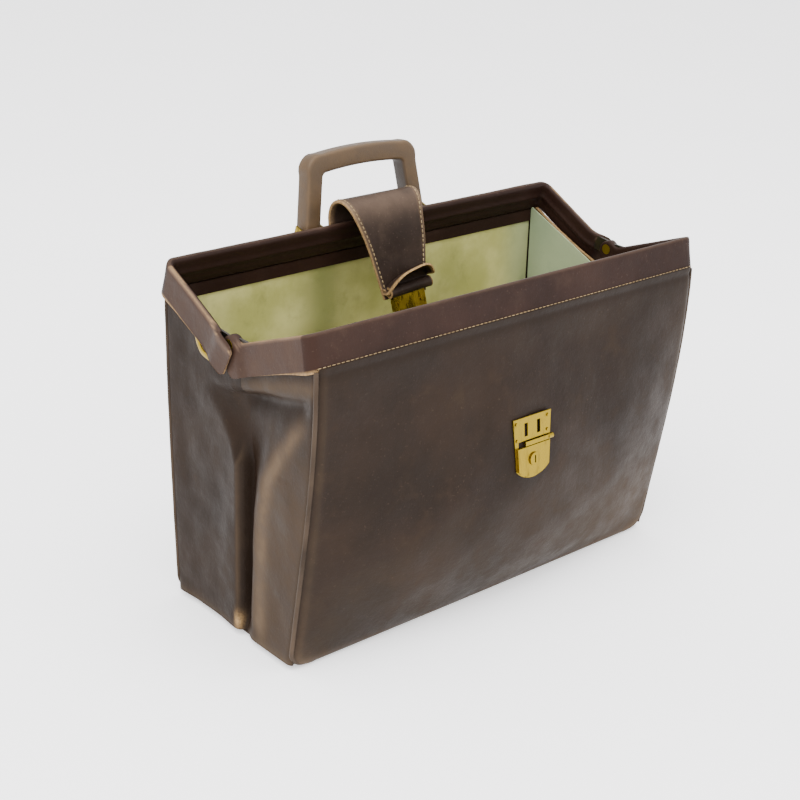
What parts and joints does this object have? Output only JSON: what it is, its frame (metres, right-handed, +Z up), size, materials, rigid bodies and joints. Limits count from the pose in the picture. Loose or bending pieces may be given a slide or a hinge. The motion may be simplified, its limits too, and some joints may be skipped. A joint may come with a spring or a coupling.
{
  "type": "doctor bag",
  "caption": "Leather doctor bag standing open: folding two-part frame, moulded handle, closure strap with hasp, brass front lock, cloth lining.",
  "frame": {"origin": "on the resting plane, under the middle of the base", "axes": "+X along the length, -Y towards the front with the lock, +Z up"},
  "size_m": [0.4192, 0.2355, 0.3493],
  "materials": {
    "leather": "worn smooth hide, satin",
    "frame_leather": "worn smooth hide, satin",
    "strap_leather": "soft hide with pale raw edges",
    "piping": "rubbed hide",
    "lining": "coated cloth, stained",
    "board": "raw",
    "moulding": "moulded grain, satin",
    "steel": "plain",
    "brass": "scratched and tarnished"
  },
  "bodies": {
    "body": {"base_leather": "leather", "base_board": "board", "base_lining": "lining", "feet": "brass", "left_gusset": "leather", "right_gusset": "leather", "left_gusset_lining": "lining", "right_gusset_lining": "lining"},
    "hinge_pins": {"left_hinge_pin": "brass", "right_hinge_pin": "brass"},
    "rear_frame": {"rear_frame_bar": "steel", "rear_frame_cover": "frame_leather", "left_handle_bracket": "brass", "right_handle_bracket": "brass", "handle_pins": "brass", "strap_root": "strap_leather", "strap_rivets": "brass"},
    "front_frame": {"front_frame_bar": "steel", "front_frame_cover": "frame_leather"},
    "front_panel": {"front_panel": "leather", "front_lining": "lining", "front_facing": "frame_leather", "front_welts": "piping", "lock_plate": "brass", "lock_case": "steel", "lock_rivets": "brass"},
    "rear_panel": {"rear_panel": "leather", "rear_lining": "lining", "rear_facing": "frame_leather", "rear_welts": "piping"},
    "handle": {"handle": "moulding"},
    "strap": {"strap_tongue": "strap_leather", "strap_tab": "strap_leather", "hasp_plate": "brass", "hasp_staples": "brass", "hasp_rivets": "brass"},
    "lock_bolt": {"lock_bolt": "brass"},
    "key_plug": {"key_plug": "brass"}
  },
  "joints": [
    {"name": "frame_close", "type": "slide", "parent": "body", "child": "hinge_pins", "axis": [0, 0.0937, -0.9956], "range_m": [0, 0.08538], "deforming": ["left_gusset", "right_gusset", "left_gusset_lining", "right_gusset_lining"]},
    {"name": "rear_frame_fold", "type": "hinge", "parent": "hinge_pins", "child": "rear_frame", "pos_m": [0, -0.008, 0.25], "axis": [1, 0, 0], "range_deg": [0, 63.3], "deforming": ["strap_root"]},
    {"name": "front_frame_fold", "type": "hinge", "parent": "hinge_pins", "child": "front_frame", "pos_m": [0, -0.008, 0.25], "axis": [-1, 0, 0], "range_deg": [0, 68.6]},
    {"name": "front_panel_fold", "type": "hinge", "parent": "body", "child": "front_panel", "pos_m": [0, -0.07525, 0.003], "axis": [-1, 0, 0], "range_deg": [0, 17.2], "deforming": ["front_panel", "front_lining", "front_facing", "front_welts"]},
    {"name": "rear_panel_fold", "type": "hinge", "parent": "body", "child": "rear_panel", "pos_m": [0, 0.07525, 0.003], "axis": [1, 0, 0], "range_deg": [0, 13.3], "deforming": ["rear_panel", "rear_lining", "rear_facing", "rear_welts"]},
    {"name": "strap_fold", "type": "hinge", "parent": "rear_frame", "child": "strap", "pos_m": [0.004, 0.07114, 0.30848], "axis": [-1, 0, 0], "range_deg": [0, 75.3], "deforming": ["strap_tongue", "strap_tab"]},
    {"name": "handle_swing", "type": "hinge", "parent": "rear_frame", "child": "handle", "pos_m": [0.0005, 0.0939, 0.28477], "axis": [1, 0, 0], "range_deg": [-140, 30]},
    {"name": "lock_slide", "type": "slide", "parent": "front_panel", "child": "lock_bolt", "axis": [-1, 0, 0], "range_m": [0, 0.006], "stiffness_N_per_m": 150, "springref_m": -0.003},
    {"name": "key_turn", "type": "hinge", "parent": "front_panel", "child": "key_plug", "pos_m": [0.004, -0.12004, 0.14155], "axis": [0, -0.9945, 0.1045], "range_deg": [0, 90]}
  ],
  "couplings": [
    {"joint": "rear_frame_fold", "follows": "frame_close", "rad_per_m": 12.92},
    {"joint": "front_frame_fold", "follows": "frame_close", "rad_per_m": 14.003},
    {"joint": "front_panel_fold", "follows": "frame_close", "rad_per_m": 3.4957},
    {"joint": "rear_panel_fold", "follows": "frame_close", "rad_per_m": 2.6985},
    {"joint": "strap_fold", "follows": "frame_close", "rad_per_m": 15.373}
  ]
}
